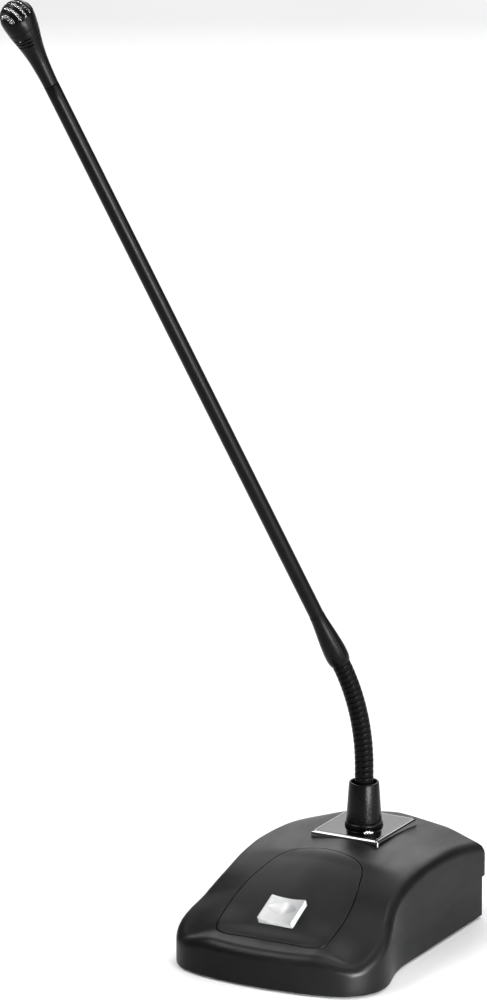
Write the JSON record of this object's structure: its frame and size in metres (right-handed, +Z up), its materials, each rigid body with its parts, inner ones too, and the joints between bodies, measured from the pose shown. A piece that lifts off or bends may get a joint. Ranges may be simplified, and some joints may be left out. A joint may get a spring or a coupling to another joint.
{
  "type": "gooseneck desk microphone",
  "caption": "Gooseneck microphone with a slotted head on a slim stem, bent flexible neck, and a weighted desk base with a lit talk button.",
  "frame": {"origin": "on the plane of the rubber feet, under the middle of the base", "axes": "+Z up, -Y towards the front with the talk button, +X to the right seen from the front"},
  "size_m": [0.1768, 0.2109, 0.5079],
  "materials": {
    "cover_plastic": "fine moulded texture, satin black",
    "panel_plastic": "fine moulded texture, satin black",
    "button_plastic": "milky translucent",
    "inner_plastic": "plain black",
    "mode_plastic": "plain white",
    "board": "green solder resist",
    "led": "tinted clear lens",
    "components": "black mouldings",
    "polished_plate": "polished, mirror-like grey metal",
    "contact_metal": "plated",
    "lead_insulation": "smooth",
    "bright_metal": "bright",
    "spring_steel": "drawn wire",
    "rear_plastic": "fine moulded texture",
    "black_metal": "satin black",
    "screw_steel": "zinc plated, dark",
    "painted_steel": "black powder coat",
    "ballast_iron": "rough cast",
    "rubber": "matt",
    "cone_plastic": "satin to gloss black",
    "neck_metal": "satin black lacquer on wound steel",
    "stem_paint": "satin black lacquer",
    "mesh_metal": "bright woven wire",
    "foam": "open-cell foam",
    "capsule_metal": "plain"
  },
  "bodies": {
    "base": {"top_cover": "cover_plastic", "control_panel": "panel_plastic", "button_guide": "inner_plastic", "switch_board": "board", "tact_switch": "inner_plastic", "button_lights": "led", "socket_platform": "polished_plate", "socket_faceplate": "polished_plate", "socket_barrel": "inner_plastic", "socket_insert": "inner_plastic", "socket_contacts": "contact_metal", "socket_leads": "lead_insulation", "latch_spring": "spring_steel", "rear_panel": "rear_plastic", "output_shell": "black_metal", "output_insert": "inner_plastic", "output_pins": "contact_metal", "output_screws": "screw_steel", "base_plate": "painted_steel", "ballast_weight": "ballast_iron", "ballast_screws": "screw_steel", "cover_screws": "screw_steel", "rubber_feet": "rubber", "mode_switch": "inner_plastic", "main_board": "board", "board_posts": "contact_metal", "board_screws": "screw_steel", "board_components": "components"},
    "button": {"push_button": "button_plastic", "switch_plunger": "inner_plastic"},
    "latch": {"latch_tab": "bright_metal"},
    "mode": {"mode_slider": "mode_plastic"},
    "plug": {"plug_cone": "cone_plastic", "flange_ring": "cone_plastic", "plug_shell": "black_metal", "plug_insert": "inner_plastic", "plug_pins": "contact_metal", "neck_ferrule": "neck_metal"},
    "link_01": {"neck_link_01": "neck_metal"},
    "link_02": {"neck_link_02": "neck_metal"},
    "link_03": {"neck_link_03": "neck_metal"},
    "link_04": {"neck_link_04": "neck_metal"},
    "link_05": {"neck_link_05": "neck_metal"},
    "link_06": {"neck_link_06": "neck_metal"},
    "link_07": {"neck_link_07": "neck_metal"},
    "link_08": {"neck_link_08": "neck_metal"},
    "link_09": {"neck_link_09": "neck_metal"},
    "link_10": {"neck_link_10": "neck_metal"},
    "link_11": {"neck_link_11": "neck_metal"},
    "stem": {"coupling_sleeve": "stem_paint", "stem_tube": "stem_paint", "head_housing": "stem_paint", "head_grille": "stem_paint", "mesh_screen": "mesh_metal", "foam_disc": "foam", "capsule": "capsule_metal", "capsule_ring": "rubber", "stem_lead": "lead_insulation"}
  },
  "joints": [
    {"name": "button_press", "type": "slide", "parent": "base", "child": "button", "axis": [0, 0.4258, -0.9048], "range_m": [0, 0.0012], "stiffness_N_per_m": 900, "springref_m": -0.0008},
    {"name": "latch_press", "type": "slide", "parent": "base", "child": "latch", "axis": [0, 0, -1], "range_m": [0, 0.0014], "stiffness_N_per_m": 600, "springref_m": -0.001, "deforming": ["latch_spring"]},
    {"name": "mode_slide", "type": "slide", "parent": "base", "child": "mode", "axis": [1, 0, 0], "range_m": [0, 0.003]},
    {"name": "plug_lift", "type": "slide", "parent": "base", "child": "plug", "axis": [0, 0, 1], "range_m": [0, 0.022]},
    {"name": "neck_lean_1", "type": "hinge", "parent": "plug", "child": "link_01", "pos_m": [0, 0.0388, 0.073], "axis": [0.8241, -0.5664, 0], "range_deg": [-14, 8]},
    {"name": "neck_sway_1", "type": "hinge", "parent": "link_01", "child": "link_02", "pos_m": [0, 0.0388, 0.0795], "axis": [-0.5664, -0.8241, 0], "range_deg": [-9, 9]},
    {"name": "neck_lean_2", "type": "hinge", "parent": "link_02", "child": "link_03", "pos_m": [-0.00001, 0.03879, 0.086], "axis": [0.8241, -0.5664, 0], "range_deg": [-14, 8]},
    {"name": "neck_sway_2", "type": "hinge", "parent": "link_03", "child": "link_04", "pos_m": [-0.00014, 0.03859, 0.09249], "axis": [-0.5653, -0.8225, -0.0623], "range_deg": [-9, 9]},
    {"name": "neck_lean_3", "type": "hinge", "parent": "link_04", "child": "link_05", "pos_m": [-0.00046, 0.03812, 0.09897], "axis": [0.8241, -0.5664, 0], "range_deg": [-14, 8]},
    {"name": "neck_sway_3", "type": "hinge", "parent": "link_05", "child": "link_06", "pos_m": [-0.00097, 0.03739, 0.10541], "axis": [-0.5588, -0.8131, -0.163], "range_deg": [-9, 9]},
    {"name": "neck_lean_4", "type": "hinge", "parent": "link_06", "child": "link_07", "pos_m": [-0.00166, 0.03638, 0.11179], "axis": [0.8241, -0.5664, 0], "range_deg": [-14, 8]},
    {"name": "neck_sway_4", "type": "hinge", "parent": "link_07", "child": "link_08", "pos_m": [-0.00254, 0.03511, 0.1181], "axis": [-0.5466, -0.7953, -0.262], "range_deg": [-9, 9]},
    {"name": "neck_lean_5", "type": "hinge", "parent": "link_08", "child": "link_09", "pos_m": [-0.00359, 0.03358, 0.12433], "axis": [0.8241, -0.5664, 0], "range_deg": [-14, 8]},
    {"name": "neck_sway_5", "type": "hinge", "parent": "link_09", "child": "link_10", "pos_m": [-0.00482, 0.03178, 0.13045], "axis": [-0.5288, -0.7694, -0.3583], "range_deg": [-9, 9]},
    {"name": "neck_lean_6", "type": "hinge", "parent": "link_10", "child": "link_11", "pos_m": [-0.00623, 0.02974, 0.13646], "axis": [0.8241, -0.5664, 0], "range_deg": [-14, 8]},
    {"name": "neck_sway_6", "type": "hinge", "parent": "link_11", "child": "stem", "pos_m": [-0.0078, 0.02745, 0.14234], "axis": [-0.5056, -0.7356, -0.4509], "range_deg": [-9, 9]}
  ],
  "couplings": [
    {"joint": "neck_lean_2", "follows": "neck_lean_1", "ratio": 1},
    {"joint": "neck_sway_2", "follows": "neck_sway_1", "ratio": 1},
    {"joint": "neck_lean_3", "follows": "neck_lean_1", "ratio": 1},
    {"joint": "neck_sway_3", "follows": "neck_sway_1", "ratio": 1},
    {"joint": "neck_lean_4", "follows": "neck_lean_1", "ratio": 1},
    {"joint": "neck_sway_4", "follows": "neck_sway_1", "ratio": 1},
    {"joint": "neck_lean_5", "follows": "neck_lean_1", "ratio": 1},
    {"joint": "neck_sway_5", "follows": "neck_sway_1", "ratio": 1},
    {"joint": "neck_lean_6", "follows": "neck_lean_1", "ratio": 1},
    {"joint": "neck_sway_6", "follows": "neck_sway_1", "ratio": 1}
  ]
}
